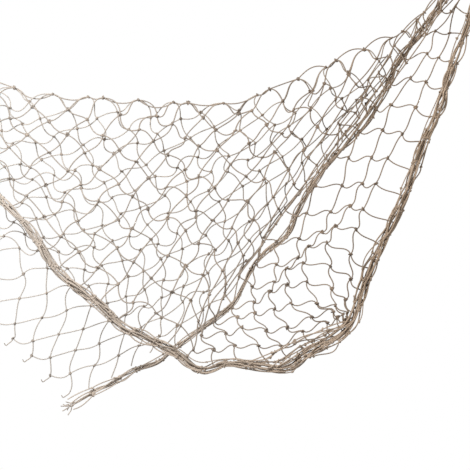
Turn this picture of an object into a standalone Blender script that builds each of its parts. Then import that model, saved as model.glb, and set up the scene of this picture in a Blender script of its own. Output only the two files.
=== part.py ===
"""Decorative fishing net, folded over itself and hung from two points.

One piece of knotted twine net. It is folded over itself, the fold runs
as a shallow swag between the two hanging points, and both falls hang below
it. The front fall ends in a gathered edge. The back fall ends in a thinner
gathered edge and, at its lower left, in a cut edge with loose twine ends.
"""
import bpy
import bmesh
import math
from collections import namedtuple
from mathutils import Vector

MM = 0.001

# The lattice stands for the net at about 1.6 times its real 40 mm mesh.
STRUT = 3.3            # across the corners of one strut of the lattice
COLUMNS = 22           # meshes from one neck to the other
FRONT_ROWS = 6         # meshes from the fold down to the front gathered edge
BACK_ROWS = 7          # meshes from the fold down to the back gathered edge
KNOT_STEP = 42.0       # distance between knots along a gathered edge
RIDGES = 5             # strands that show round a gathered edge
RIDGE_DEPTH = 0.24     # how deep the grooves between them are, of the radius
RIDGE_TURN = 0.30      # how far the strands turn from one ring to the next
NECK_GROOVE = 0.20     # how deep the grooves of a neck are, of its radius
AT_KNOT, MID_BAR = 1.28, 0.92           # radius of an edge there, of its mean
BAG = 9.0              # how far the middle of a fall stands out of its chord
UNEVEN = 0.16          # how far a knot lies off its place, as a share of a mesh
OVERLAP = 5.0          # how far a neck reaches over the first meshes
LOOSE_R = 1.7          # radius of a strand that stands clear of its edge
TAIL_R = 1.3           # radius of a loose twine end
STAIR_TAIL = 20.0      # length of the loose ends along the cut edge

# One row per section across the net, from the left hanging point to the
# right one. Every length is in millimetres. "left" and "down" are measured
# from the right hanging point, "out" is towards the viewer, "in" is away.
# half: half the depth of the fold. front_r and back_r: radius of the edges.
Section = namedtuple("Section", "fold_left fold_down front_left front_down front_out "
                     "back_left back_down back_in half front_r back_r")
SECTIONS = (
    # fold         front edge       back edge        half  edges
    # left down    left down  out   left down  in          front_r back_r
    (975, 120,     975, 120,   0,   975, 120,  0,    0,    3.5, 3.0),
    (898, 184,     915, 210,  13,   918, 222, 12,    7,    6.0, 4.0),
    (849, 212,     840, 310,  28,   905, 470, 20,   10,    6.5, 4.0),
    (777, 238,     750, 415,  42,   850, 735, 26,   12,    6.5, 5.0),
    (696, 258,     660, 525,  55,   735, 770, 28,   13,    6.0, 6.5),
    (612, 267,     564, 610,  64,   634, 724, 28,   14,    6.0, 7.0),
    (525, 273,     453, 670,  72,   548, 676, 26,   14,    7.0, 6.0),
    (465, 277,     398, 662,  75,   495, 648, 24,   14,    8.0, 5.0),
    (393, 276,     321, 669,  78,   426, 597, 24,   14,    9.5, 4.6),
    (327, 249,     225, 600,  74,   375, 525, 24,   14,    8.5, 4.2),
    (276, 230,     200, 528,  66,   320, 474, 24,   13,    8.5, 4.0),
    (243, 213,     171, 470,  58,   294, 418, 23,   12,    7.5, 4.0),
    (216, 201,     146, 417,  50,   266, 375, 22,   12,    7.0, 4.2),
    (180, 186,     117, 338,  40,   210, 312, 20,   11,    6.5, 4.5),
    (142, 166,      82, 252,  28,   160, 232, 17,   10,    6.5, 5.0),
    (108, 135,      54, 172,  18,   122, 172, 14,    9,    6.0, 5.0),
    (63,   84,      27,  90,  10,    61,  94, 10,    7,    6.0, 5.0),
    (0,     0,       0,   0,   0,     0,   0,  0,    0,    3.5, 3.0),
)
FIRST, LAST = 1, len(SECTIONS) - 2      # the sections where the necks begin
GATHERED = 2           # columns at the right where the back fall is gathered
BACK_EDGE_START = 4.87                  # section where the back edge ends loose
LOOSE_STEPS = 8        # stretches in a strand that stands clear of its edge

# The cut edge of the back fall, from the end of the back gathered edge up
# to the left hanging point. Nothing of the back fall is left below it.
CUT_EDGE = (
    # left down
    (640, 730),
    (656, 700),
    (700, 664),
    (732, 630),
    (788, 585),
    (840, 540),
    (880, 470),
    (915, 360),
    (975, 120),
)

# Strands that stand clear of the front gathered edge and join it again.
LOOSE_STRANDS = (
    # start  end of the stretch, both as sections;  clear: outwards  forwards
    (6.55,   7.85,   13,   5),
    (7.55,   8.95,   17,  -6),
    (8.30,   9.30,  -15,   8),
    (9.10,  10.40,   13,   4),
    (10.9,  12.20,   11,   5),
    (12.6,  13.90,   12,  -4),
    (14.0,  15.30,   10,   4),
    (3.20,   4.30,   10,   4),
)

# A neck from above its hanging knot down to the open meshes.
NECK_PROFILE = (
    # share of length  share of full size  least radius
    (-0.09,            0.0,                4.0),
    (-0.03,            0.0,                7.5),
    (0.05,             0.0,                7.5),
    (0.11,             0.0,                5.5),
    (0.35,             0.30,               6.0),
    (0.62,             0.60,               6.0),
    (1.0,              1.0,                6.0),
)

# Loose twine ends at the end of the back gathered edge.
END_TAILS = (
    # left down in   of the tip
    (684,  748, 34),
    (676,  764, 24),
    (664,  772, 36),
    (690,  728, 20),
)


def point(left, back, down):
    """A point in metres from its distances in millimetres."""
    return Vector((-left * MM, back * MM, -down * MM))


def between(lo, hi, share):
    return lo + (hi - lo) * share


def lengths_along_front():
    """Length of the front gathered edge up to each section."""
    total, out = 0.0, [0.0]
    for a, b in zip(SECTIONS, SECTIONS[1:]):
        a, b = Section(*a), Section(*b)
        total += math.dist((a.front_left, a.front_down, a.front_out),
                           (b.front_left, b.front_down, b.front_out))
        out.append(total)
    return out


STATION = lengths_along_front()


def section_at(s):
    """The section at length s along the front edge, smoothly interpolated."""
    k = 0
    while k < len(STATION) - 2 and s > STATION[k + 1]:
        k += 1
    rows = [SECTIONS[max(0, min(len(SECTIONS) - 1, k + d))] for d in (-1, 0, 1, 2)]
    at = [STATION[max(0, min(len(STATION) - 1, k + d))] for d in (-1, 0, 1, 2)]
    span = at[2] - at[1]
    u = (s - at[1]) / span
    out = []
    for p0, p1, p2, p3 in zip(*rows):
        m1 = (p2 - p0) / max(at[2] - at[0], 1e-6) * span
        m2 = (p3 - p1) / max(at[3] - at[1], 1e-6) * span
        out.append((2 * u**3 - 3 * u**2 + 1) * p1 + (u**3 - 2 * u**2 + u) * m1
                   + (3 * u**2 - 2 * u**3) * p2 + (u**3 - u**2) * m2)
    return Section(*out)


def station_of(section):
    """Length along the front edge at a section number such as 7.5."""
    k = min(int(section), len(STATION) - 2)
    return between(STATION[k], STATION[k + 1], section - k)


def front_point(s, v):
    """A point of the front fall, v = 0 at the fold and 1 at its edge."""
    at = section_at(s)
    bag = math.sin(math.pi * v) * BAG * min(1.0, at.front_out / 40.0)
    return point(between(at.fold_left, at.front_left, v),
                 -between(at.half, at.front_out, v) - bag,
                 between(at.fold_down, at.front_down, v))


def back_point(s, v):
    """A point of the back fall, v = 0 at the fold and 1 at its edge."""
    at = section_at(s)
    return point(between(at.fold_left, at.back_left, v),
                 between(at.half, at.back_in, v),
                 between(at.fold_down, at.back_down, v))


def limit_of_cut(left):
    """How far down the back fall reaches at a distance to the left."""
    for (l0, d0), (l1, d1) in zip(CUT_EDGE, CUT_EDGE[1:]):
        if l0 <= left <= l1:
            return between(d0, d1, (left - l0) / (l1 - l0))
    return 1000.0 if left < CUT_EDGE[0][0] else 0.0


def station_of_column(i):
    return between(STATION[FIRST], STATION[LAST], i / COLUMNS)


def open_rows(i, front):
    """Meshes still open at column line i; the others are gathered."""
    if front:
        return FRONT_ROWS - max(0, (4 - i) // 2, (i - COLUMNS + 5) // 2)
    return BACK_ROWS - max(0, (i - COLUMNS + 9) // 2)


def share_across(i, j, front):
    """Place of row line j across its fall, 1 where it joins the edge."""
    return min(1.0, j / open_rows(i, front))


def is_cut_off(i, j):
    """Whether mesh j of column i of the back fall isn't there."""
    if i >= COLUMNS - GATHERED:
        return True
    middle = back_point(station_of_column(i + 0.5), (j + 0.5) / open_rows(i, False))
    return -middle.z / MM > limit_of_cut(-middle.x / MM)


def knot(i, j, front):
    """Where column line i crosses row line j, a little off its even place."""
    s = station_of_column(i)
    fall = front_point if front else back_point
    v = share_across(i, j, front)
    p = fall(s, v)
    if 0 < i < COLUMNS and v < 1.0:
        mesh = (fall(s, 1.0) - fall(s, 0.0)).length / BACK_ROWS
        seed = j + 1 if front else -j
        a = math.sin(i * 12.9898 + seed * 78.233) * 43758.5453
        b = math.sin(i * 39.3468 + seed * 11.135) * 24634.6345
        off = Vector((a - math.floor(a) - 0.5, 0.0, b - math.floor(b) - 0.5))
        p = p + off * mesh * UNEVEN
    return p


def new_object(name, bm, home):
    mesh = bpy.data.meshes.new(name)
    bm.to_mesh(mesh)
    bm.free()
    obj = bpy.data.objects.new(name, mesh)
    home.objects.link(obj)
    return obj


def loft(bm, rings):
    """Join rings of equal length into one closed tube with flat ends."""
    made = [[bm.verts.new(p) for p in ring] for ring in rings]
    n = len(made[0])
    for a, b in zip(made, made[1:]):
        for i in range(n):
            bm.faces.new((a[i], a[(i + 1) % n], b[(i + 1) % n], b[i]))
    bm.faces.new(list(reversed(made[0])))
    bm.faces.new(made[-1])
    bmesh.ops.recalc_face_normals(bm, faces=bm.faces)


def tube(name, home, path, radii, sides, ridge=0.0, turn=0.0):
    """A tube along a path. ridge sinks every second corner of its section."""
    rings = []
    side = Vector((0.0, -1.0, 0.0))
    for k, p in enumerate(path):
        ahead = path[min(k + 1, len(path) - 1)] - path[max(k - 1, 0)]
        ahead.normalize()
        side = (side - ahead * side.dot(ahead)).normalized()
        other = ahead.cross(side)
        ring = []
        for i in range(sides):
            a = 2 * math.pi * i / sides + turn * k
            r = radii[k] * MM * (1.0 - (ridge if i % 2 else 0.0))
            ring.append(p + side * (math.cos(a) * r) + other * (math.sin(a) * r))
        rings.append(ring)
    bm = bmesh.new()
    loft(bm, rings)
    return new_object(name, bm, home)


def gathered_edge(name, home, front, s0, s1):
    """Strands gathered along the edge of a fall, thicker at every knot."""
    fall = front_point if front else back_point
    count = 2 * round((s1 - s0) / KNOT_STEP)
    path, radii = [], []
    for k in range(count + 1):
        s = between(s0, s1, k / count)
        sway = 0.7 if k % 4 < 2 else -0.7
        at = section_at(s)
        path.append(fall(s, 1.0) + point(0.0, sway, sway))
        radii.append((at.front_r if front else at.back_r) * (MID_BAR if k % 2 else AT_KNOT))
    return tube(name, home, path, radii, 2 * RIDGES, RIDGE_DEPTH, RIDGE_TURN)


def lattice(name, home):
    """Both falls and the fold as one sheet of meshes, thickened to struts."""
    bm = bmesh.new()

    def line(i, front):
        """The knots of column line i; gathered rows share their last knot."""
        out = []
        for j in range((FRONT_ROWS if front else BACK_ROWS) + 1):
            gathered = j > open_rows(i, front)
            out.append(out[-1] if gathered else bm.verts.new(knot(i, j, front)))
        return out

    front = [line(i, True) for i in range(COLUMNS + 1)]
    back = [line(i, False) for i in range(COLUMNS + 1)]
    meshes = []
    for i in range(COLUMNS):
        meshes.append((front[i][0], back[i][0], back[i + 1][0], front[i + 1][0]))
        for j in range(FRONT_ROWS):
            meshes.append((front[i][j + 1], front[i][j], front[i + 1][j], front[i + 1][j + 1]))
        for j in range(BACK_ROWS):
            if not is_cut_off(i, j):
                meshes.append((back[i][j], back[i][j + 1], back[i + 1][j + 1], back[i + 1][j]))
    for corners in meshes:
        corners = list(dict.fromkeys(corners))
        if len(corners) > 2:
            bm.faces.new(corners)
    stray = [v for v in bm.verts if not v.link_faces]
    bmesh.ops.delete(bm, geom=stray, context='VERTS')
    bmesh.ops.recalc_face_normals(bm, faces=bm.faces)
    obj = new_object(name, bm, home)
    wire = obj.modifiers.new("struts", 'WIREFRAME')
    wire.thickness = STRUT * MM
    wire.offset = 0.0
    wire.use_boundary = True
    wire.use_replace = True
    wire.use_even_offset = True
    wire.use_relative_offset = False
    return obj


def stair_tails(home):
    """Loose twine ends on the outer corners of the cut edge."""
    for i in range(1, COLUMNS - GATHERED):
        for j in range(1, BACK_ROWS):
            if is_cut_off(i - 1, j) and not is_cut_off(i, j):
                p = knot(i, j + 1, False)
                along = (p - knot(i + 1, j + 1, False)).normalized()
                tip = p + (along + Vector((0.0, 0.0, -0.8))).normalized() * STAIR_TAIL * MM
                tube("stair_tail_%d_%d" % (i, j), home, [p, tip], [TAIL_R * 1.2, TAIL_R], 4)


def neck(name, home, tip, ends):
    """Gathered strands between a hanging point and the ends of the meshes."""
    middle = sum(ends, Vector()) / len(ends)
    axis = (middle - tip).normalized()
    depth = Vector((0.0, 1.0, 0.0))
    depth = (depth - axis * depth.dot(axis)).normalized()
    across = axis.cross(depth)
    reach = max((p - tip).dot(axis) for p in ends) + OVERLAP * MM
    offs = [(p - middle).dot(across) for p in ends]
    deep = [(p - middle).dot(depth) for p in ends]
    wide = (max(offs) - min(offs)) / 2 + STRUT * MM
    thick = (max(deep) - min(deep)) / 2 + STRUT * MM
    shift = across * ((max(offs) + min(offs)) / 2) + depth * ((max(deep) + min(deep)) / 2)
    rings = []
    for share, size, least in NECK_PROFILE:
        centre = tip + axis * (reach * share) + shift * max(share, 0.0)
        w = max(wide * size, least * MM)
        t = max(thick * size, least * MM)
        ring = []
        for i in range(4 * RIDGES):
            a = 2 * math.pi * i / (4 * RIDGES)
            sink = 1.0 - (NECK_GROOVE if i % 2 else 0.0)
            ring.append(centre + across * (math.cos(a) * w * sink)
                        + depth * (math.sin(a) * t * sink))
        rings.append(ring)
    bm = bmesh.new()
    loft(bm, rings)
    return new_object(name, bm, home)


# Collections: the net itself, and the pieces that are joined into it.
net_home = bpy.data.collections.new("decorative_fishing_net")
bpy.context.scene.collection.children.link(net_home)
parts_home = bpy.data.collections.new("joined_pieces")
bpy.context.scene.collection.children.link(parts_home)
for old in list(bpy.data.objects):
    bpy.data.objects.remove(old, do_unlink=True)

# Twine: undyed cotton, tan, dull.
twine = bpy.data.materials.new("twine")
twine.use_nodes = True
shader = twine.node_tree.nodes["Principled BSDF"]
shader.inputs["Base Color"].default_value = (0.42, 0.32, 0.22, 1.0)
shader.inputs["Roughness"].default_value = 0.9

net = lattice("net", net_home)

# Front gathered edge, from one hanging point to the other.
gathered_edge("front_edge", parts_home, True, STATION[0], STATION[-1])

# Back gathered edge, from its loose end to the right hanging point.
gathered_edge("back_edge", parts_home, False, station_of(BACK_EDGE_START), STATION[-1])

# Necks at the two hanging points. At the right each fall has its own.
left_tip = point(SECTIONS[0][0], 0, SECTIONS[0][1])
right_tip = point(0, 0, 0)
steps = [v / 4 for v in range(5)]
neck("left_neck", parts_home, left_tip,
     [fall(STATION[FIRST], v) for v in steps for fall in (front_point, back_point)])
neck("right_neck", parts_home, right_tip,
     [front_point(STATION[LAST], v) for v in steps] + [back_point(STATION[LAST], 0.0)])
neck("right_back_neck", parts_home, right_tip,
     [back_point(station_of_column(COLUMNS - GATHERED), v) for v in steps])

# Strands standing clear of the front edge.
for n, (start, end, clear, forward) in enumerate(LOOSE_STRANDS):
    path, radii = [], []
    for k in range(LOOSE_STEPS + 1):
        s = between(station_of(start), station_of(end), k / LOOSE_STEPS)
        ahead = front_point(s + 4.0, 1.0) - front_point(s - 4.0, 1.0)
        outward = Vector((ahead.z, 0.0, -ahead.x)).normalized()
        rise = math.sin(math.pi * k / LOOSE_STEPS)
        path.append(front_point(s, 1.0) + outward * (clear * rise * MM)
                    + point(0.0, -forward * rise, 0.0))
        radii.append(LOOSE_R if k % 4 else LOOSE_R * 1.4)
    tube("loose_strand_%d" % (n + 1), parts_home, path, radii, 4)

# Loose ends at the end of the back edge.
root = back_point(station_of(BACK_EDGE_START + 0.05), 1.0)
for n, (left, down, back) in enumerate(END_TAILS):
    tip = point(left, back, down)
    bend = root.lerp(tip, 0.5) + point(0.0, 0.0, 3.0 if n % 2 else -2.0)
    tube("end_tail_%d" % (n + 1), parts_home, [root, bend, tip],
         [TAIL_R * 1.3, TAIL_R, TAIL_R * 0.8], 4)

stair_tails(parts_home)

# All of it is one piece of netting, so all of it is joined into one solid.
union = net.modifiers.new("one_net", 'BOOLEAN')
union.operation = 'UNION'
union.solver = 'EXACT'
union.operand_type = 'COLLECTION'
union.collection = parts_home
net.data.materials.append(twine)
for piece in parts_home.objects:
    piece.hide_render = True
    piece.data.materials.append(twine)
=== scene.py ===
"""Decorative fishing net of knotted cotton twine, draped as a swag from two points."""
import bpy
import bmesh
import math
import numpy as np
from mathutils import Matrix, Vector


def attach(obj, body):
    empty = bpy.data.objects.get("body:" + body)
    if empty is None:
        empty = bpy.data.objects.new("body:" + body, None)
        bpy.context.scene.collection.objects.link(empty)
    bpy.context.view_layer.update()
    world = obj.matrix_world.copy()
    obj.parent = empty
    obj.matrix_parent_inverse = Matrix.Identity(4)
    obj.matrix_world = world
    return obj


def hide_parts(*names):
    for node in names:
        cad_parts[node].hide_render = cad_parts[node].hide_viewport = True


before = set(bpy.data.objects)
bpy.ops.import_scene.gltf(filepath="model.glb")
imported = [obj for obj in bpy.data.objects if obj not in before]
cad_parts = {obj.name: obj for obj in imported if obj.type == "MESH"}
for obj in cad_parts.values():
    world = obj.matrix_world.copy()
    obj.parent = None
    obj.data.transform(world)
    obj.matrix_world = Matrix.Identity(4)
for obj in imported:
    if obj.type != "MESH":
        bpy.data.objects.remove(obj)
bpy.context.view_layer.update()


# The netting as it hangs. It is one square net, folded along its diagonal, so the
# fold crosses the meshes at 45 degrees. The fold is hung by its two ends, the front
# fall hangs to its corner at the lower right, the back fall to a cut edge.
BAR = 40.0          # mm of twine from knot to knot
COLUMNS = 29        # meshes along the lower edge of the front fall
ROWS = 20           # meshes along its side edge
CORNER = 4          # column at which the back gathered edge ends
BEYOND = 2          # more columns of the back fall, left of the one at the hanging knot
FOLD_REACH = 0.72   # meshes from the fold within which a knot sits on it
FRONT_LEAN = -0.19  # how far the front fall stands out for each metre that it drops
BACK_LEAN = 0.06    # how far the back fall stands back for each metre


def place(left, down, out):
    """A point in metres from its place in mm."""
    return np.array((-left, -out, -down)) * 0.001


class Line:
    """A smooth line through places in mm, left of, below and in front of the origin."""

    PARTS = 10      # short steps in which the line runs from one place to the next
    GLANCE = 0.01   # share of the length over which its direction is taken

    def __init__(self, rows):
        fixed = np.array([place(*row) for row in rows])
        slope = np.gradient(fixed, axis=0)
        points = []
        for n in range(len(fixed) - 1):
            for u in np.arange(0.0, 1.0, 1.0 / self.PARTS):
                points.append((2 * u**3 - 3 * u**2 + 1) * fixed[n]
                              + (u**3 - 2 * u**2 + u) * slope[n]
                              + (3 * u**2 - 2 * u**3) * fixed[n + 1]
                              + (u**3 - u**2) * slope[n + 1])
        self.points = np.array(points + [fixed[-1]])
        steps = np.linalg.norm(np.diff(self.points, axis=0), axis=1)
        self.reach = np.concatenate([[0.0], np.cumsum(steps)])
        self.length = float(self.reach[-1])

    def at(self, share):
        """The point at a share of the length."""
        here = min(1.0, max(0.0, share)) * self.length
        return np.array([np.interp(here, self.reach, self.points[:, k]) for k in range(3)])

    def course(self, share):
        """Unit directions there: ahead, aside in the picture plane, and to the back."""
        ahead = self.at(share + self.GLANCE) - self.at(share - self.GLANCE)
        ahead = ahead / np.linalg.norm(ahead)
        deep = np.array((0.0, 1.0, 0.0)) - ahead * ahead[1]
        deep = deep / np.linalg.norm(deep)
        return ahead, np.cross(ahead, deep), deep


# Lines of the net in mm: left of, below and in front of the right hanging point.
FOLD = Line((
    (975, 120, 0), (908, 174, 0), (833, 213, 0), (750, 246, 0), (705, 260, 0),
    (660, 264, 0), (608, 268, 0), (567, 270, 0), (515, 274, 0), (465, 276, 0),
    (398, 276, 0), (363, 264, 0), (333, 250, 0), (276, 231, 0), (236, 207, 0),
    (200, 195, 0), (185, 186, 0), (153, 174, 0), (108, 135, 0), (57, 78, 0), (0, 0, 0),
))
LOWER = (
    (975, 120, 0), (915, 210, 13), (840, 310, 28), (750, 415, 42), (705, 462, 50),
    (660, 525, 55), (592, 580, 61), (564, 610, 64), (534, 622, 66), (487, 646, 70),
    (453, 670, 72), (432, 666, 73), (398, 661, 75), (357, 667, 77), (321, 667, 78),
    (288, 643, 77), (252, 625, 75), (225, 600, 74),
)
SIDE = (
    (225, 600, 74), (211, 558, 70), (199, 528, 66), (186, 498, 62), (171, 470, 58),
    (146, 417, 50), (130, 375, 45), (117, 338, 40), (96, 292, 34), (83, 252, 28),
    (70, 213, 23), (54, 172, 18), (27, 90, 10), (0, 0, 0),
)
LOWER_EDGE = Line(LOWER)
SIDE_EDGE = Line(SIDE)
FRONT_EDGE = Line(LOWER + SIDE[1:])
BACK_EDGE = Line((
    (645, 729, -28), (615, 712, -28), (578, 693, -28), (548, 676, -27), (515, 663, -26),
    (495, 648, -25), (456, 618, -25), (426, 597, -24), (398, 573, -24), (375, 528, -24),
    (356, 502, -24), (320, 474, -24), (306, 442, -24), (294, 418, -23), (266, 375, -22),
    (240, 346, -21), (215, 319, -20), (189, 283, -19), (166, 244, -17), (148, 207, -15),
    (122, 172, -14), (63, 90, -10), (0, 0, 0),
))
LEFT_EDGE = Line((
    (975, 120, 0), (945, 205, -6), (908, 318, -14), (872, 420, -22), (850, 486, -26),
    (838, 532, -28),
))


# How the meshes are spread along those lines, as (share of meshes, share of length):
# they are drawn together at the corner of the front fall and at the right end.
LOWER_SPREAD = ((0, 0), (0.655, 0.735), (0.79, 0.90), (0.87, 0.975), (1, 1))
SIDE_SPREAD = ((0, 0), (0.2, 0.02), (0.25, 0.073), (0.35, 0.185), (0.5, 0.375),
               (0.7, 0.66), (1, 1))
BACK_SPREAD = ((0, 0), (0.04, 0.032), (0.08, 0.065), (0.12, 0.10), (1, 1))
FOLD_SPREAD = ((0, 0), (0.25, 0.312), (0.5, 0.594), (0.75, 0.835), (1, 1))

# Knots that the photograph shows singly: their places in mm left and down. Rows of
# the front fall start one mesh from the side edge and run to the left.
FRONT_ROWS = (
    # row, knots
    (1, ((230, 598), (236, 597), (246, 594), (261, 602), (297, 615), (330, 636), (363, 636),
         (398, 636), (429, 642), (459, 642))),
    (2, ((231, 594), (238, 590), (252, 586), (284, 594), (320, 609), (351, 614), (387, 609),
         (411, 618), (447, 621))),
    (3, ((232, 588), (249, 576), (276, 574), (314, 574), (339, 582), (368, 588), (394, 594),
         (428, 600))),
    (4, ((234, 568), (254, 552), (291, 542), (320, 546), (346, 556), (369, 572), (402, 579))),
    (5, ((226, 538), (256, 519), (296, 514), (321, 522), (339, 542), (372, 549))),
    (6, ((226, 501), (261, 484), (288, 489), (304, 506), (336, 516), (366, 516))),
    (7, ((218, 464), (248, 459), (268, 468), (302, 478), (336, 482))),
    (8, ((207, 434), (226, 429), (255, 438), (291, 440))),
    (9, ((188, 396), (208, 396), (238, 399), (278, 399))),
    (10, ((170, 358), (194, 357), (228, 357), (248, 351))),
    (11, ((148, 322), (177, 316), (212, 318))),
    (12, ((128, 282), (164, 278), (186, 284))),
    (13, ((112, 244), (135, 238), (166, 244))),
    (14, ((93, 207), (110, 201), (147, 204))),
)
# Columns of the back fall run down from a row to the cut edge or the gathered edge.
BACK_COLUMNS = (
    # column, first row, knots
    (0, 14, ((754, 538), (762, 574), (759, 602))),
    (1, 13, ((722, 492), (716, 531), (722, 568), (729, 606), (732, 628))),
    (2, 14, ((680, 522), (681, 560), (688, 597), (702, 632), (704, 654))),
    (3, 15, ((644, 550), (651, 586), (663, 622), (676, 657), (676, 684))),
    (4, 16, ((614, 579), (626, 614), (638, 646), (646, 681), (646, 708))),
    (5, 17, ((588, 602), (602, 636), (609, 669), (618, 706))),
    (6, 18, ((564, 621), (573, 654), (584, 688))),
    (7, 19, ((542, 639), (554, 670))),
    (8, 20, ((526, 650),)),
    (-1, 15, ((797, 573),)),
)


class Netting:
    """Knots joined by spans of twine; some knots are held and the rest settle."""

    EVEN, FINE = 0.30, 0.03     # pull of the neighbours, at first and then
    SINK = 0.00004              # m that a knot sags in a round
    CRUMPLE = 0.72              # share of its length below which a span pushes back
    PUSH = 0.15                 # how much of that it gives back in a pass
    EASE = 1.3                  # how far a correction goes past the mean

    def __init__(self):
        self.index = {}
        self.places = []
        self.held = []
        self.spans = []

    def knot(self, key, spot, held):
        self.index[key] = len(self.places)
        self.places.append(np.array(spot, float))
        self.held.append(held)

    def span(self, a, b, length):
        self.spans.append((self.index[a], self.index[b], length))

    def settle(self, rounds):
        """Even the knots out, then let them sag and keep every span its length."""
        spots = np.array(self.places)
        free = np.where(self.held, 0.0, 1.0)
        a = np.array([span[0] for span in self.spans])
        b = np.array([span[1] for span in self.spans])
        length = np.array([span[2] for span in self.spans])
        share = free[a] + free[b]
        share[share == 0.0] = 1.0
        meet = np.zeros(len(spots))
        np.add.at(meet, a, 1.0)
        np.add.at(meet, b, 1.0)
        for n in range(rounds):
            mean = np.zeros_like(spots)
            np.add.at(mean, a, spots[b])
            np.add.at(mean, b, spots[a])
            pull = self.EVEN if n < rounds // 3 else self.FINE
            spots += (mean / meet[:, None] - spots) * free[:, None] * pull
            if n >= rounds // 3:
                spots[:, 2] -= free * self.SINK
            for _ in range(3):
                way = spots[b] - spots[a]
                now = np.linalg.norm(way, axis=1) + 1e-9
                give = np.where(now > length, (now - length) * 0.5, 0.0)
                short = length * self.CRUMPLE
                give += np.where(now < short, (now - short) * self.PUSH, 0.0)
                shift = way / now[:, None] * give[:, None]
                move = np.zeros_like(spots)
                np.add.at(move, a, shift * (free[a] / share)[:, None] * 2)
                np.add.at(move, b, -shift * (free[b] / share)[:, None] * 2)
                spots += move / meet[:, None] * self.EASE
        return spots


def spread(share, table):
    """Share of a line's length at a share of its meshes."""
    return np.interp(share, [row[0] for row in table], [row[1] for row in table])


def fold_at(share):
    return FOLD.at(spread(share, FOLD_SPREAD))


def lower_at(share):
    return LOWER_EDGE.at(spread(share, LOWER_SPREAD))


def side_at(share):
    return SIDE_EDGE.at(spread(share, SIDE_SPREAD))


def back_at(column):
    share = max(0.0, (column - CORNER) / (COLUMNS - CORNER))
    return BACK_EDGE.at(spread(share, BACK_SPREAD))


def on_fold(key):
    """One or two knots of each row lie so near to the fold that they sit on it."""
    return abs(key[0] - key[1] * COLUMNS / ROWS) < FOLD_REACH


def first_column(row):
    """The leftmost knot of the back fall at a row: its cut edge rises by steps."""
    return max(-BEYOND, -row, CORNER - (ROWS - row))


def in_front(key):
    return key[1] / ROWS <= key[0] / COLUMNS


def hang_depth(key, spot):
    """How far behind the origin a fall hangs at a place, by its drop from the fold."""
    drop = np.interp(spot[0], FOLD.points[:, 0], FOLD.points[:, 2]) - spot[2]
    return max(0.0, drop) * (FRONT_LEAN if in_front(key) else BACK_LEAN)


seen = {}           # the places of those knots
for row, knots in FRONT_ROWS:
    for n, knot in enumerate(knots):
        seen[(COLUMNS - 1 - n, row)] = knot
for column, row, knots in BACK_COLUMNS:
    for n, knot in enumerate(knots):
        seen[(column, row + n)] = knot


net = Netting()
gathered = set()    # knots that lie in a gathered edge or a hanging knot
BELLY = 0.009       # m that the middle of the front fall stands out at first
for row in range(ROWS + 1):
    for column in range(-BEYOND, COLUMNS + 1):
        u = column / COLUMNS
        v = row / ROWS
        key = (column, row)
        if key in ((0, 0), (COLUMNS, ROWS)):
            spot = fold_at(u)
            gathered.add(key)
        elif v <= u:
            across = (u - v) / (1 - v)
            one = fold_at(v) * (1 - across) + side_at(v) * across
            other = fold_at(u) * (v / u) + lower_at(u) * (1 - v / u)
            spot = (one + other) / 2
            spot[1] -= BELLY * math.sin(math.pi * min(1.0, (u - v) * 2))
            if row == 0 or column == COLUMNS:
                spot = lower_at(u) if row == 0 else side_at(v)
                gathered.add(key)
        elif column >= first_column(row):
            across = (v - u) / (1 - u)
            spot = fold_at(u) * (1 - across) + back_at(column) * across
            if column < 0:
                border = LEFT_EDGE.at(row / (ROWS - CORNER - BEYOND))
                spot += (border - spot) * -column / BEYOND
            if row == ROWS:
                spot = back_at(column)
                gathered.add(key)
        else:
            continue
        if key in seen:
            spot[0] = -seen[key][0] * 0.001
            spot[2] = -seen[key][1] * 0.001
            spot[1] = hang_depth(key, spot)
        elif on_fold(key) and key not in gathered:
            spot = fold_at((u + v) / 2) + place(0, -2, 0)
        held = key in seen or key in gathered or on_fold(key) or column == -BEYOND
        net.knot(key, spot, held)


# Spans of the netting. One that crosses the fold is held on it by a knot of its own.
over_fold = []
for row in range(ROWS + 1):
    for column in range(-BEYOND, COLUMNS + 1):
        for step in ((1, 0), (0, 1)):
            start = (column, row)
            end = (column + step[0], row + step[1])
            if start not in net.index or end not in net.index:
                continue
            if in_front(start) == in_front(end) or on_fold(start) or on_fold(end):
                net.span(start, end, BAR * 0.001)
                continue
            top = ("fold", column, row, step[0])
            if step[1]:
                share = column / COLUMNS
                part = share * ROWS - row
            else:
                share = row / ROWS
                part = share * COLUMNS - column
            net.knot(top, fold_at(share), True)
            net.span(start, top, BAR * 0.001 * part)
            net.span(top, end, BAR * 0.001 * (1 - part))
            over_fold.append((start, top, end))

spots = net.settle(900)

# The back fall stays on the left of its own gathered edge, as the photograph shows.
BESIDE = 0.008          # m that it keeps clear of the middle of that edge
for key, at in net.index.items():
    if key[0] == "fold" or in_front(key) or net.held[at]:
        continue
    edge = np.interp(spots[at][2], BACK_EDGE.points[:, 2], BACK_EDGE.points[:, 0])
    over = spots[at][0] - (edge - BESIDE)
    if over > 0.0:
        spots[at][0] -= over * 1.15

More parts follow.
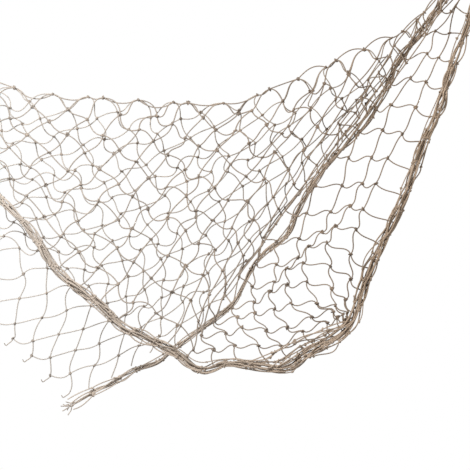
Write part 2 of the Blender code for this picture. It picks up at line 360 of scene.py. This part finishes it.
# The falls hang flat. Beside the back gathered edge the meshes are pulled long, so
# their twine is calm there, and what lies against the edge is drawn into it.
SWAY = 0.007            # m that a knot may lie before or behind its fall
PULLED_FROM = 12        # column from which the meshes are pulled long
CALM_WITHIN = 0.055     # m from the edge at which the twine grows calm
CALMEST = 0.25          # what is left of the twine's bends against the edge
calm = np.ones(len(spots))
for key, at in net.index.items():
    if key[0] != "fold" and not net.held[at]:
        flat = hang_depth(key, spots[at])
        spots[at][1] = min(flat + SWAY, max(flat - SWAY, spots[at][1]))
    if key[0] != "fold" and key not in seen:
        gap = np.linalg.norm((BACK_EDGE.points - spots[at])[:, (0, 2)], axis=1).min()
        drawn_in = 0.020 if key[0] > PULLED_FROM else 0.012
        if key[0] > PULLED_FROM:
            calm[at] = min(1.0, max(CALMEST, gap / CALM_WITHIN))
        if not in_front(key) and gap < drawn_in:
            gathered.add(key)

# No two meshes hang alike: every free knot lies a few millimetres off its place and
# is turned a little, each against its neighbours, which bends the twine that leaves it.
OFF_PLACE = (0.0021, 0.0030, 0.0021)    # m, across, deep and down
TURN = 0.42             # how much knots are turned by chance, of the most
AGAINST = 0.5           # how much each is turned against its neighbours
SEEN_TURN = -0.75       # how much the knots are turned that the photograph shows in front
chance = np.random.default_rng(11)
uneven = chance.normal(0.0, 1.0, spots.shape) * OFF_PLACE
spots += uneven * np.where(net.held, 0.0, 1.0)[:, None]
turned = chance.normal(0.0, TURN, len(spots))
for key, at in net.index.items():
    if key in seen and in_front(key):
        turned[at] = SEEN_TURN + 0.25 * turned[at]
    elif key[0] != "fold":
        turned[at] += AGAINST if sum(key) % 2 else -AGAINST
        if key in seen:
            turned[at] *= 0.5
turned = np.clip(turned, -1.0, 1.0) * calm


# What each knot's twine comes from and goes to, along its row and along its column.
before = {}
after = {}
for start, top, end in over_fold:
    step = (end[0] - start[0], end[1] - start[1])
    after[(start, step)] = net.index[top]
    before[(end, step)] = net.index[top]
for key, at in net.index.items():
    if key[0] == "fold":
        continue
    for step in ((1, 0), (0, 1)):
        ahead = (key[0] + step[0], key[1] + step[1])
        if ahead in net.index and (key, step) not in after:
            after[(key, step)] = net.index[ahead]
            before[(ahead, step)] = at


MOST_TURN = 1.15        # radians by which twine may bend as it leaves a knot
HIDDEN_TURN = 0.9       # the same, for knots whose place had to be guessed
LEAST_TURN = 0.28       # radians by which even a taut span bends
ROW_TURN = 0.75         # the same, along the wavy rows that the photograph shows
HANDLE = 0.36           # length of a run's curve handle, of the run
SAG = 0.30              # how far a run hangs, of its slack


def bend_from(key, step, way, slack, least):
    """Curve handle of the twine that leaves a knot: along the fold, or bent by slack."""
    at = net.index[key]
    size = float(np.linalg.norm(way)) + 1e-9
    along = way / size
    if on_fold(key) and key not in gathered:
        share = spread((key[0] / COLUMNS + key[1] / ROWS) / 2, FOLD_SPREAD)
        ridge = FOLD.course(share)[0]
        if np.dot(ridge, along) < 0.0:
            ridge = -ridge
        out = ridge + along * 0.35 + np.array((0.0, 0.0, 0.25))
        return out / np.linalg.norm(out) * size * 0.46
    if (key, step) in before and (key, step) in after:
        through = spots[after[(key, step)]] - spots[before[(key, step)]]
        through = through / (np.linalg.norm(through) + 1e-9)
        if np.dot(through, along) < 0.0:
            through = -through
        along = along * 0.5 + through * 0.5
    most = MOST_TURN if key in seen else HIDDEN_TURN
    angle = min(most, math.sqrt(max(0.0, 6.0 * slack)) * 0.9 + least) * turned[at]
    cos = math.cos(angle)
    sin = math.sin(angle)
    out = np.array((along[0] * cos - along[2] * sin, along[1],
                    along[0] * sin + along[2] * cos))
    return out * size * (HANDLE + 0.22 * (angle / MOST_TURN) ** 2)


def run_between(start, end, length):
    """One span of twine as start, both curve handles and end."""
    here = spots[net.index[start]]
    there = spots[net.index[end]]
    step = (end[0] - start[0], end[1] - start[1])
    way = there - here
    now = float(np.linalg.norm(way)) + 1e-9
    slack = max(0.0, length / now - 1.0)
    quiet = min(calm[net.index[start]], calm[net.index[end]])
    sag = np.array((0.0, 0.0, -SAG * max(0.0, length - now) * quiet))
    least = LEAST_TURN
    if step[0] and in_front(start) and (start in seen or end in seen):
        least = ROW_TURN
    return (here, here + bend_from(start, step, way, slack, least) + sag,
            there + bend_from(end, step, -way, slack, least) + sag, there)


def run_over(front, top, back):
    """A span that rises to the fold, turns over in an arch and goes down behind it."""
    rise = np.array((0.6, 1.1, 1.0))
    return (spots[front], spots[front] + (spots[top] - spots[front]) * rise,
            spots[back] + (spots[top] - spots[back]) * rise, spots[back])


# Front and back fall: cotton twine of three twisted plies, just under 2 mm thick, tan,
# dull and a little hairy. A run of it goes from each knot to the next.
TWINE_RADIUS = 0.00098      # m
RINGS = 9                   # steps in which a run of twine bends from knot to knot


def twine(name, runs, loops, radius):
    """One mesh of many lengths of twine: open runs and closed loops (knots)."""
    curve = bpy.data.curves.new(name, 'CURVE')
    curve.dimensions = '3D'
    curve.bevel_depth = radius
    curve.bevel_resolution = 1
    curve.resolution_u = RINGS
    curve.use_fill_caps = True
    for run in runs:
        spline = curve.splines.new('BEZIER')
        spline.bezier_points.add(1)
        first, last = spline.bezier_points
        for point in (first, last):
            point.handle_left_type = point.handle_right_type = 'FREE'
        first.co, first.handle_right, last.handle_left, last.co = run
        first.handle_left = first.co
        last.handle_right = last.co
    for loop in loops:
        spline = curve.splines.new('POLY')
        spline.points.add(len(loop) - 1)
        for point, spot in zip(spline.points, loop):
            point.co = (*spot, 1.0)
        spline.use_cyclic_u = True
    made = bpy.data.objects.new(name, curve)
    bpy.context.scene.collection.objects.link(made)
    drawn = made.evaluated_get(bpy.context.evaluated_depsgraph_get())
    mesh = bpy.data.meshes.new_from_object(drawn)
    bpy.data.objects.remove(made)
    bpy.data.curves.remove(curve)
    mesh.name = name
    mesh.shade_smooth()
    piece = bpy.data.objects.new(name, mesh)
    bpy.context.scene.collection.objects.link(piece)
    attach(piece, "root")
    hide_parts("net")
    return piece


class Wire:
    """A node's output that takes part in sums, which add Math nodes."""

    def __init__(self, tree, socket):
        self.tree = tree
        self.socket = socket

    def node(self, kind, settings, values, output=0):
        """Add a node: its settings first, then values or wires for its sockets."""
        made = self.tree.nodes.new(kind)
        for name, value in settings.items():
            setattr(made, name, value)
        for name, value in values.items():
            if isinstance(value, Wire):
                self.tree.links.new(value.socket, made.inputs[name])
            else:
                made.inputs[name].default_value = value
        return Wire(self.tree, made.outputs[output])

    def math(self, operation, first, second=0.0):
        return self.node('ShaderNodeMath', {"operation": operation}, {0: first, 1: second})

    def __add__(self, other):
        return self.math('ADD', self, other)

    __radd__ = __add__

    def __mul__(self, other):
        return self.math('MULTIPLY', self, other)

    __rmul__ = __mul__

    def __sub__(self, other):
        return self.math('SUBTRACT', self, other)

    def __rsub__(self, other):
        return self.math('SUBTRACT', other, self)


GROOVE = (0.50, 0.41, 0.33, 1.0)            # shade between the plies
PAINTED_LIGHT_WASH = (0.83, 0.775, 0.71, 1.0)         # painted light: twine paler towards the left, where the net looks more brightly lit
WASH_FROM, WASH_TO = -0.20, -0.72           # m, X at which the painted lighter wash starts and is full


def twine_finish(name, pale, dark, turns, groove_shade_strength, painted_wash_strength):
    """Twisted cotton: plies that wind round the twine, fibres and uneven ageing,
    with painted shade between the plies and a painted lighter wash to the left.
    """
    material = bpy.data.materials.new(name)
    material.use_nodes = True
    tree = material.node_tree
    shader = tree.nodes["Principled BSDF"]
    shader.inputs["Sheen Weight"].default_value = 0.25
    shader.inputs["Sheen Roughness"].default_value = 0.6
    shader.inputs["Specular IOR Level"].default_value = 0.25
    here = Wire(tree, tree.nodes.new('ShaderNodeTexCoord').outputs["Object"])
    laid = here.node('ShaderNodeUVMap', {"uv_map": "UVMap"}, {})
    length = here.node('ShaderNodeSeparateXYZ', {}, {0: laid}, 0)
    girth = here.node('ShaderNodeSeparateXYZ', {}, {0: laid}, 1)
    wave = (length * turns + girth * 3.0) * (2 * math.pi)
    ply = here.math('SINE', wave) * 0.5 + 0.5
    fibre = here.node('ShaderNodeTexNoise', {"noise_dimensions": '3D'},
                      {"Vector": here, "Scale": 1400.0, "Detail": 2.0})
    age = here.node('ShaderNodeTexNoise', {"noise_dimensions": '3D'},
                    {"Vector": here, "Scale": 22.0, "Detail": 3.0})
    aged = here.node('ShaderNodeMapRange', {"clamp": True},
                     {"Value": age, "From Min": 0.35, "From Max": 0.65})
    # Painted shade: the grooves between the plies are darkened towards GROOVE.
    groove = (1.0 - ply) * groove_shade_strength
    tint = aged * 0.65 + fibre * 0.35
    body = here.node('ShaderNodeMix', {"data_type": 'RGBA'},
                     {0: tint, 6: (*pale, 1.0), 7: (*dark, 1.0)}, 2)
    shade = here.node('ShaderNodeMix', {"data_type": 'RGBA', "blend_type": 'MULTIPLY'},
                      {0: groove, 6: body, 7: GROOVE}, 2)
    # Painted light: the twine is washed paler towards the left, where the net looks more
    # brightly lit.
    east = here.node('ShaderNodeSeparateXYZ', {}, {0: here}, 0)
    painted_wash_mask = here.node('ShaderNodeMapRange', {"clamp": True},
                      {"Value": east, "From Min": WASH_FROM, "From Max": WASH_TO,
                       "To Max": painted_wash_strength})
    shade = here.node('ShaderNodeMix', {"data_type": 'RGBA'},
                      {0: painted_wash_mask, 6: shade, 7: PAINTED_LIGHT_WASH}, 2)
    bump = here.node('ShaderNodeBump', {},
                     {"Strength": 0.8, "Distance": 0.0004, "Height": ply + fibre * 0.5})
    tree.links.new(shade.socket, shader.inputs["Base Color"])
    tree.links.new((fibre * 0.2 + 0.78).socket, shader.inputs["Roughness"])
    tree.links.new(bump.socket, shader.inputs["Normal"])
    return material


net_twine = twine_finish("net_twine", (0.385, 0.29, 0.205), (0.175, 0.12, 0.077),
                         18.0, 0.5, 0.38)
# Painted light: the back fall is the same twine in paler tones, with a stronger wash to the
# left.
back_twine_painted_lighter = twine_finish("back_twine_painted_lighter", (0.46, 0.375, 0.29), (0.24, 0.18, 0.13),
                          18.0, 0.5, 0.56)
keys = {at: key for key, at in net.index.items()}
front_runs = []
back_runs = []
for one, other, length in net.spans:
    start = keys[one]
    end = keys[other]
    if start[0] == "fold" or end[0] == "fold":
        continue
    if start in gathered and end in gathered:
        continue
    lower = end if on_fold(start) else start
    home = front_runs if in_front(lower) else back_runs
    home.append(run_between(start, end, length))
for start, top, end in over_fold:
    front_runs.append(run_over(net.index[start], net.index[top], net.index[end]))

# Twine along the fold joins each knot on it to the next. At the left it hangs lower.
ridge = sorted((key for key in net.index if key[0] != "fold" and on_fold(key)), key=sum)
LOW_RIDGE = 27      # the knots before this count of rows and columns hang lower
for start, end in zip(ridge, ridge[1:]):
    here = spots[net.index[start]]
    way = spots[net.index[end]] - here
    sag = -0.30 if sum(start) < LOW_RIDGE else -0.05
    rise = np.linalg.norm(way) * chance.uniform(sag, sag + 0.35)
    lift = np.array((0.0, 0.0, rise))
    if end[0] - start[0] and end[1] - start[1]:
        front_runs.append((here, here + way * HANDLE + lift,
                           here + way * (1.0 - HANDLE) + lift, here + way))

# The left border of the back fall hangs from the left hanging knot.
here = spots[net.index[(0, 0)]]
way = spots[net.index[(-BEYOND, BEYOND)]] - here
back_runs.append((here, here + way * 0.4, here + way * 0.7, here + way))
front_fall = twine("front_fall", front_runs, [], TWINE_RADIUS)
front_fall.data.materials.append(net_twine)
back_fall = twine("back_fall", back_runs, [], TWINE_RADIUS * 0.92)
back_fall.data.materials.append(back_twine_painted_lighter)


# Knots of the falls: a tight sheet bend where each two lengths of twine cross. It is
# # the same twine, drawn into a lump three times as thick, with painted shade for its folds.
KNOT_STEPS = 12         # points of a knot's loop
KNOT_TWINE = 0.00105    # m, radius


def knot_loop(spot, size, facing):
    """Twine that goes round twice and crosses itself three times; size is in mm."""
    turn = Matrix(facing)
    loop = []
    for step in range(KNOT_STEPS):
        t = 2 * math.pi * step / KNOT_STEPS
        ring = 1.25 + 0.62 * math.cos(3 * t)
        local = Vector((ring * math.cos(2 * t) * 1.2, ring * math.sin(2 * t),
                        0.62 * math.sin(3 * t))) * (size * 0.001)
        loop.append(Vector(spot) + turn @ local)
    return loop


def any_facing():
    """A random turn, as the three rows of a matrix."""
    q = chance.normal(0.0, 1.0, 4)
    w, x, y, z = q / np.linalg.norm(q)
    return ((1 - 2 * (y * y + z * z), 2 * (x * y - z * w), 2 * (x * z + y * w)),
            (2 * (x * y + z * w), 1 - 2 * (x * x + z * z), 2 * (y * z - x * w)),
            (2 * (x * z - y * w), 2 * (y * z + x * w), 1 - 2 * (x * x + y * y)))


# Painted shade: a darker copy of the same twine, with deeper groove darkening, stands for the
# shade in the knots' folds.
knot_twine_painted_shade = twine_finish("knot_twine_painted_shade", (0.31, 0.22, 0.145), (0.13, 0.085, 0.055),
                          6.0, 0.7, 0.28)
lumps = []
for key, at in net.index.items():
    if key[0] == "fold" or key in gathered:
        continue
    size = chance.uniform(1.25, 1.7) if in_front(key) else chance.uniform(0.95, 1.25)
    lumps.append(knot_loop(spots[at], size * (0.55 + 0.45 * calm[at]), any_facing()))
fall_knots = twine("fall_knots", [], lumps, KNOT_TWINE)
fall_knots.data.materials.append(knot_twine_painted_shade)


# Gathered edges: the outer meshes of each fall drawn together, so that their strands
# lie side by side, tight at each row of knots and spread a little between them.
TAUT = 0.00097          # m that a mm of bar spans in an edge
GOLDEN_TURN = 2.39996   # radians from one strand to the next, which fills a round bundle


def bundle(line, strands, radii, wild):
    """Runs and knots of strands that follow a line, as (share, radius in mm) says."""
    count = round(line.length / (BAR * TAUT))
    pinch = chance.uniform(0.7, 1.15, count + 1)
    runs = []
    loops = []
    shares = [row[0] for row in radii]
    sizes = [row[1] for row in radii]
    for strand in range(strands):
        angle = strand * GOLDEN_TURN
        reach = math.sqrt((strand + 0.5) / strands)
        last = None
        for station in range(count + 1):
            share = station / count
            if 0 < station < count:
                share += chance.normal(0.0, 0.12) / count
            ahead, aside, deep = line.course(share)
            radius = np.interp(share, shares, sizes) * 0.001
            swing = angle + share * 5.0
            off = (aside * math.cos(swing) + deep * (math.sin(swing) * 0.6)) * reach
            wander = aside * chance.normal(0.0, 0.2) + deep * chance.normal(0.0, 0.15)
            spot = line.at(share) + (off + wander) * (radius * pinch[station])
            if last is not None:
                size = np.linalg.norm(spot - last)
                open_out = off * (radius * 0.35)
                fling = aside * chance.normal(0.0, wild) + deep * chance.normal(0.0, wild)
                back = fling * chance.uniform(-1.0, 1.0)
                runs.append((last, last + (course * HANDLE + fling) * size + open_out,
                             spot - (ahead * HANDLE + back) * size + open_out, spot))
            if 0 < station < count:
                loops.append(knot_loop(spot, chance.uniform(0.85, 1.2), any_facing()))
            last = spot
            course = ahead
    return runs, loops


# Radius of each bundle in mm at shares of its length.
FRONT_RADII = ((0.0, 1.5), (0.06, 4.5), (0.3, 6.5), (0.40, 6.0), (0.463, 4.5), (0.50, 5.5),
               (0.542, 6.5), (0.567, 10.0), (0.591, 10.0), (0.613, 5.0), (0.64, 7.0),
               (0.70, 7.5), (0.74, 7.5), (0.79, 7.0), (0.84, 6.0), (0.88, 4.5),
               (0.95, 4.5), (1.0, 1.5))
BACK_RADII = ((0.0, 8.0), (0.08, 6.5), (0.15, 5.0), (0.22, 4.0), (0.29, 2.6), (0.35, 3.2),
              (0.43, 3.4), (0.49, 3.0), (0.575, 3.6), (0.63, 8.0), (0.68, 5.5),
              (0.75, 4.5), (0.9, 5.0), (1.0, 1.5))
edge_twine = twine_finish("edge_twine", (0.56, 0.435, 0.325), (0.32, 0.23, 0.15),
                          18.0, 0.6, 0.44)
runs, loops = bundle(FRONT_EDGE, 12, FRONT_RADII, 0.09)
front_edge = twine("front_gathered_edge", runs, loops, TWINE_RADIUS * 1.12)
front_edge.data.materials.append(edge_twine)
runs, loops = bundle(BACK_EDGE, 7, BACK_RADII, 0.07)
back_edge = twine("back_gathered_edge", runs, loops, TWINE_RADIUS)
back_edge.data.materials.append(edge_twine)


# Corner of the front fall: the meshes between the corner knot and the lower edge are
# drawn out into a loose fan of strands that join the gathered edge one by one.
FAN = (
    Line(((225, 600, 76), (262, 612, 80), (300, 626, 82), (345, 650, 80), (384, 660, 78))),
    Line(((226, 602, 72), (268, 622, 74), (303, 640, 76), (333, 660, 78), (372, 664, 76))),
    Line(((224, 606, 76), (250, 630, 80), (288, 652, 82), (318, 674, 80), (350, 672, 78))),
)
FAN_RADII = ((0.0, 2.0), (0.3, 6.0), (0.6, 5.0), (1.0, 2.0))
runs = []
loops = []
for line in FAN:
    more_runs, more_loops = bundle(line, 3, FAN_RADII, 0.16)
    runs += more_runs
    loops += more_loops
fan = twine("corner_fan", runs, loops, TWINE_RADIUS)
fan.data.materials.append(edge_twine)


# Loose twine: single strands that stand clear of the front gathered edge, the short
# ends at the knots of the cut edge and the frayed end of the back gathered edge.
LOOSE_RADIUS = 0.0008   # m
SLACK = 0.00095         # m that a mm of bar spans in a strand that stands clear
FRAYED = 9              # ends at the frayed end
STAND_OFF = (
    # start, end: shares of the front edge; aside, out: mm clear of it in the middle
    (0.40, 0.52, 8, 4), (0.50, 0.60, 12, -4), (0.55, 0.66, -10, 8), (0.61, 0.71, 11, 3),
    (0.69, 0.79, 10, 5), (0.76, 0.86, 9, -4), (0.84, 0.93, 9, 4), (0.28, 0.38, -6, 4),
)
runs = []
loops = []
for start, end, clear, forward in STAND_OFF:
    count = max(3, round(FRONT_EDGE.length * (end - start) / (BAR * SLACK)))
    last = None
    for station in range(count + 1):
        share = start + (end - start) * station / count
        rise = math.sin(math.pi * station / count) * 0.001
        ahead, aside, deep = FRONT_EDGE.course(share)
        spot = FRONT_EDGE.at(share) + (aside * clear - deep * forward) * rise
        if last is not None:
            size = np.linalg.norm(spot - last)
            bow = chance.normal(0.0, 0.06, 3)
            runs.append((last, last + (course * HANDLE + bow) * size,
                         spot - (ahead * HANDLE - bow) * size, spot))
        if 0 < station < count:
            loops.append(knot_loop(spot, 0.95, any_facing()))
        last = spot
        course = ahead

# A short end with a hook hangs from the outer knot of each step of the cut edge.
for row in range(ROWS - CORNER - BEYOND, ROWS + 1):
    spot = spots[net.index[(first_column(row), row)]]
    way = place(chance.uniform(8, 11), chance.uniform(6, 11), chance.uniform(-3, 3))
    hook = place(4, -3, 0)
    runs.append((spot, spot + way * 0.3 + place(-2, 2, 0), spot + way * 0.7, spot + way))
    runs.append((spot + way, spot + way * 1.2, spot + way * 1.1 + hook * 0.5,
                 spot + way + hook))

# The strands of the back gathered edge come apart at its lower left end.
end = BACK_EDGE.at(0.0)
for _ in range(FRAYED):
    way = place(chance.uniform(3, 16), chance.uniform(-4, 14), chance.uniform(-6, 6))
    from_here = end + chance.normal(0.0, 0.0025, 3)
    curl = chance.normal(0.0, 0.003, 3)
    runs.append((from_here, from_here + way * 0.4 + curl, from_here + way * 0.8,
                 from_here + way))
loose = twine("loose_twine", runs, loops, LOOSE_RADIUS)
loose.data.materials.append(edge_twine)


# Hanging knots: at each end of the fold all strands meet in a plain overhand knot. It
# is drawn as one thick twine, with a smaller turn of it on top.
HANGING_TWINE = 0.0026      # m, radius
loops = []
for tip in (FOLD.at(0.0), FOLD.at(1.0)):
    for lift, size in ((0.0, 3.2), (7.0, 2.7)):
        loops.append(knot_loop(tip + place(0.0, -lift, 0.0), size, any_facing()))
hanging = twine("hanging_knots", [], loops, HANGING_TWINE)
hanging.data.materials.append(knot_twine_painted_shade)


# Floor: a plain white sheet, well below the net. It gives the net no light of its
# own, and the studio behind it is as white.
FLOOR_REACH = 8.0           # m
FLOOR_MIDDLE = (-0.5, 0.0, -1.5)
sheet = bpy.data.meshes.new("floor")
bm = bmesh.new()
bmesh.ops.create_grid(bm, x_segments=1, y_segments=1, size=FLOOR_REACH)
bmesh.ops.translate(bm, vec=FLOOR_MIDDLE, verts=bm.verts)
bm.to_mesh(sheet)
bm.free()
floor = bpy.data.objects.new("floor", sheet)
bpy.context.scene.collection.objects.link(floor)
floor.visible_diffuse = False
floor.visible_glossy = False
paper = bpy.data.materials.new("floor_paper")
paper.use_nodes = True
paper_shader = paper.node_tree.nodes["Principled BSDF"]
paper_shader.inputs["Base Color"].default_value = (0.6, 0.6, 0.6, 1.0)
paper_shader.inputs["Emission Color"].default_value = (1.0, 1.0, 1.0, 1.0)
paper_shader.inputs["Emission Strength"].default_value = 1.0
sheet.materials.append(paper)


# Studio light: a soft light from the upper left, a wider and weaker one from the right,
# and a white room, which is brighter to the camera than it is on the net.
NET_MIDDLE = (-0.5, 0.0, -0.45)
ROOM_ON_NET = 0.42          # brightness of the room on the net; the camera sees 1.0


def soft_light(name, spot, aim, size, power):
    lamp = bpy.data.lights.new(name, 'AREA')
    lamp.size = size
    lamp.energy = power
    holder = bpy.data.objects.new(name, lamp)
    bpy.context.scene.collection.objects.link(holder)
    holder.location = spot
    holder.rotation_euler = (Vector(aim) - Vector(spot)).to_track_quat('-Z', 'Y').to_euler()


soft_light("key_light", (-1.8, -1.7, 1.3), NET_MIDDLE, 0.5, 95.0)
soft_light("fill_light", (1.3, -1.7, -0.2), (-0.4, 0.0, -0.45), 1.2, 10.0)
world = bpy.data.worlds.new("studio")
world.use_nodes = True
sky = Wire(world.node_tree, world.node_tree.nodes["Background"].outputs[0])
ray = sky.node('ShaderNodeLightPath', {}, {})
backing = world.node_tree.nodes["Background"].inputs
backing["Color"].default_value = (1.0, 1.0, 1.0, 1.0)
room = ray * (1.0 - ROOM_ON_NET) + ROOM_ON_NET
world.node_tree.links.new(room.socket, backing["Strength"])
bpy.context.scene.world = world


# Camera: straight in front of the net, as in the photograph, with a long lens.
CAMERA_BACK = 5.0       # m in front of the net
SEEN_WIDTH = 0.705      # m of the net that the photograph spans
SENSOR_WIDTH = 36.0     # mm
view = bpy.data.cameras.new("camera")
view.sensor_width = SENSOR_WIDTH
view.lens = SENSOR_WIDTH * CAMERA_BACK / SEEN_WIDTH
camera = bpy.data.objects.new("camera", view)
bpy.context.scene.collection.objects.link(camera)
camera.location = (-0.3975, -CAMERA_BACK, -0.4725)
camera.rotation_euler = (math.radians(90.0), 0.0, 0.0)
bpy.context.scene.camera = camera
bpy.context.scene.view_settings.view_transform = 'Standard'
